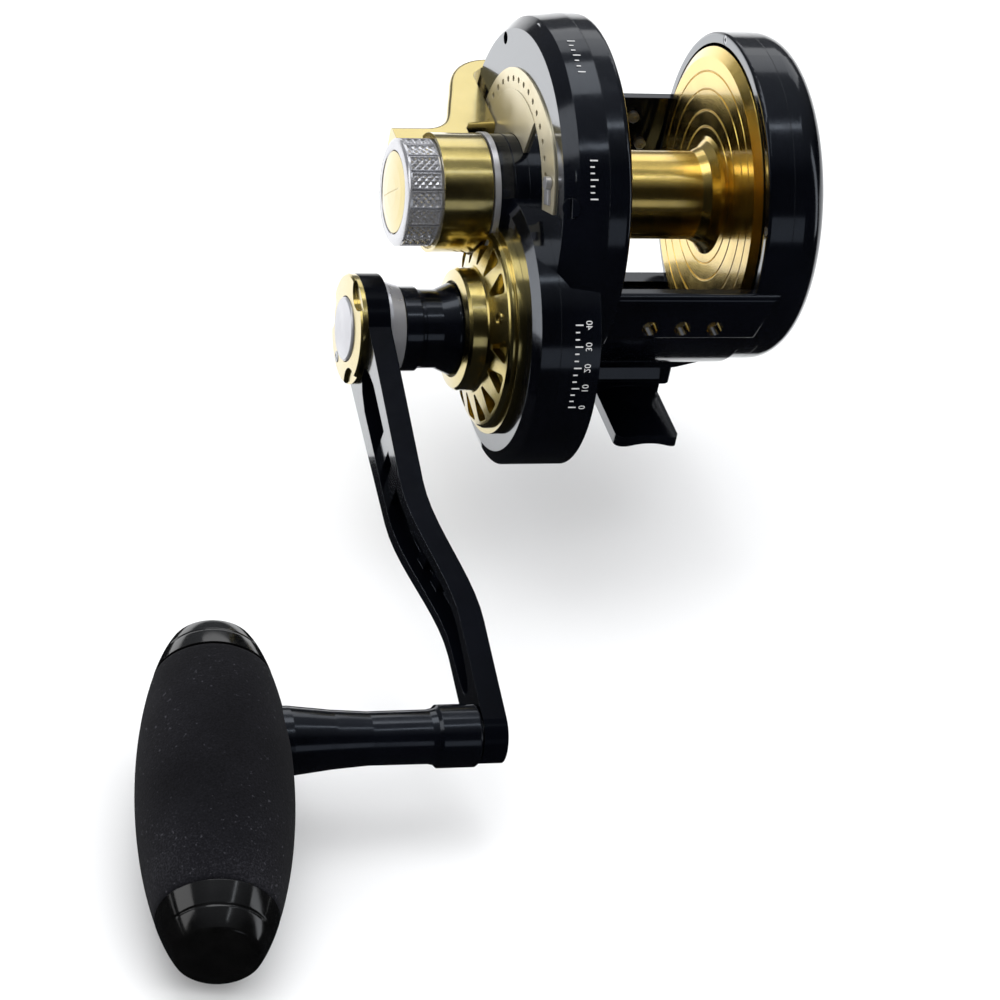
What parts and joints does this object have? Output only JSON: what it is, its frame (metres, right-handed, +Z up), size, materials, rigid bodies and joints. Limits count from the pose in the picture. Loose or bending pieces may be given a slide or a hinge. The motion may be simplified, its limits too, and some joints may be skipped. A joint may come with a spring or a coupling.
{
  "type": "trolling reel",
  "caption": "Lever-drag trolling reel: one-piece frame, gold spool, drag lever and preset knob, cranked arm with a foam T-grip.",
  "frame": {"origin": "centre of the reel foot's underside, on the crown of its saddle", "axes": "+Z up from the foot to the spool; +X along the spool axis from the handle side to the palm side; -Y the front, where line leaves"},
  "size_m": [0.1559, 0.2068, 0.103],
  "materials": {
    "black_anodised": "gloss anodised",
    "gold_anodised": "bright turned, gold anodised",
    "silver_aluminium": "turned and knurled",
    "stainless": "satin",
    "gear_brass": "machined",
    "carbon_washer": "woven carbon, matte",
    "eva_foam": "fine speckled foam",
    "black_polymer": "polished"
  },
  "bodies": {
    "frame": {"frame": "black_anodised", "gear_side_plate": "black_anodised", "drive_housing_cap": "black_anodised", "bridge_plate": "stainless", "gear_plate_screws": "stainless", "housing_plug": "black_anodised", "palm_side_plate": "black_anodised", "palm_plate_screws": "stainless", "reel_foot": "black_anodised", "foot_screws": "stainless", "rear_bar_screws": "stainless", "drive_bearing_outer": "stainless", "roller_clutch": "stainless", "drive_bearing_inner": "stainless", "pinion_bearings": "stainless", "dog_pivot": "stainless", "axle_bushing": "gear_brass", "quadrant_plate": "gold_anodised", "quadrant_stop": "silver_aluminium", "cam_ring_fixed": "stainless", "lever_washer": "silver_aluminium", "cone_cover": "gold_anodised", "cone_cover_screws": "gold_anodised"},
    "axle": {"spool_axle": "stainless", "spool_spring_washers": "stainless"},
    "spool": {"spool": "gold_anodised", "spool_bearings": "stainless", "drag_washer": "carbon_washer", "click_ratchet": "gear_brass"},
    "pinion": {"pinion_gear": "gear_brass", "drag_rotor": "stainless"},
    "crank": {"drive_shaft": "stainless", "main_gear": "gear_brass", "ratchet_wheel": "stainless", "drive_sleeve": "black_anodised", "handle_washer": "silver_aluminium", "handle_arm": "black_anodised", "handle_nut": "silver_aluminium", "nut_retainer": "gold_anodised", "retainer_screw": "stainless", "knob_spindle": "stainless"},
    "handle_knob": {"knob_stem": "black_anodised", "knob_bearings": "stainless", "knob_grip": "eva_foam", "knob_cap_front": "black_polymer", "knob_cap_rear": "black_polymer"},
    "lever": {"drag_lever": "gold_anodised", "cam_ring_turning": "stainless", "lever_detent": "stainless", "preset_thrust_bearing": "stainless"},
    "preset": {"preset_knob": "silver_aluminium", "preset_knob_cap": "gold_anodised", "preset_spring_washers": "stainless"},
    "dog": {"anti_reverse_dog": "stainless"},
    "click": {"click_button": "black_anodised"}
  },
  "joints": [
    {"name": "handle_crank", "type": "hinge", "parent": "frame", "child": "crank", "pos_m": [0, -0.019, 0.01943], "axis": [1, 0, 0], "continuous": true},
    {"name": "pinion_spin", "type": "hinge", "parent": "frame", "child": "pinion", "pos_m": [0, 0, 0.04], "axis": [1, 0, 0], "continuous": true},
    {"name": "axle_shift", "type": "slide", "parent": "frame", "child": "axle", "axis": [-1, 0, 0], "range_m": [0, 0.0006]},
    {"name": "spool_spin", "type": "hinge", "parent": "axle", "child": "spool", "pos_m": [0, 0, 0.04], "axis": [1, 0, 0], "continuous": true},
    {"name": "drag_lever_swing", "type": "hinge", "parent": "frame", "child": "lever", "pos_m": [0, 0, 0.04], "axis": [1, 0, 0], "range_deg": [0, 122]},
    {"name": "preset_knob_turn", "type": "hinge", "parent": "axle", "child": "preset", "pos_m": [0, 0, 0.04], "axis": [1, 0, 0], "range_deg": [-170, 170]},
    {"name": "handle_knob_spin", "type": "hinge", "parent": "crank", "child": "handle_knob", "pos_m": [-0.08, -0.11436, -0.00791], "axis": [1, 0, 0], "continuous": true},
    {"name": "anti_reverse_dog_swing", "type": "hinge", "parent": "frame", "child": "dog", "pos_m": [0, -0.02502, 0.00289], "axis": [1, 0, 0], "range_deg": [-4, 0], "stiffness_Nm_per_rad": 0.0005},
    {"name": "click_button_slide", "type": "slide", "parent": "frame", "child": "click", "axis": [0, 0, -1], "range_m": [0, 0.003]}
  ],
  "couplings": [
    {"joint": "pinion_spin", "follows": "handle_crank", "ratio": -4.3846},
    {"joint": "spool_spin", "follows": "handle_crank", "ratio": -4.3846},
    {"joint": "drag_lever_swing", "follows": "axle_shift", "rad_per_m": 3548}
  ]
}
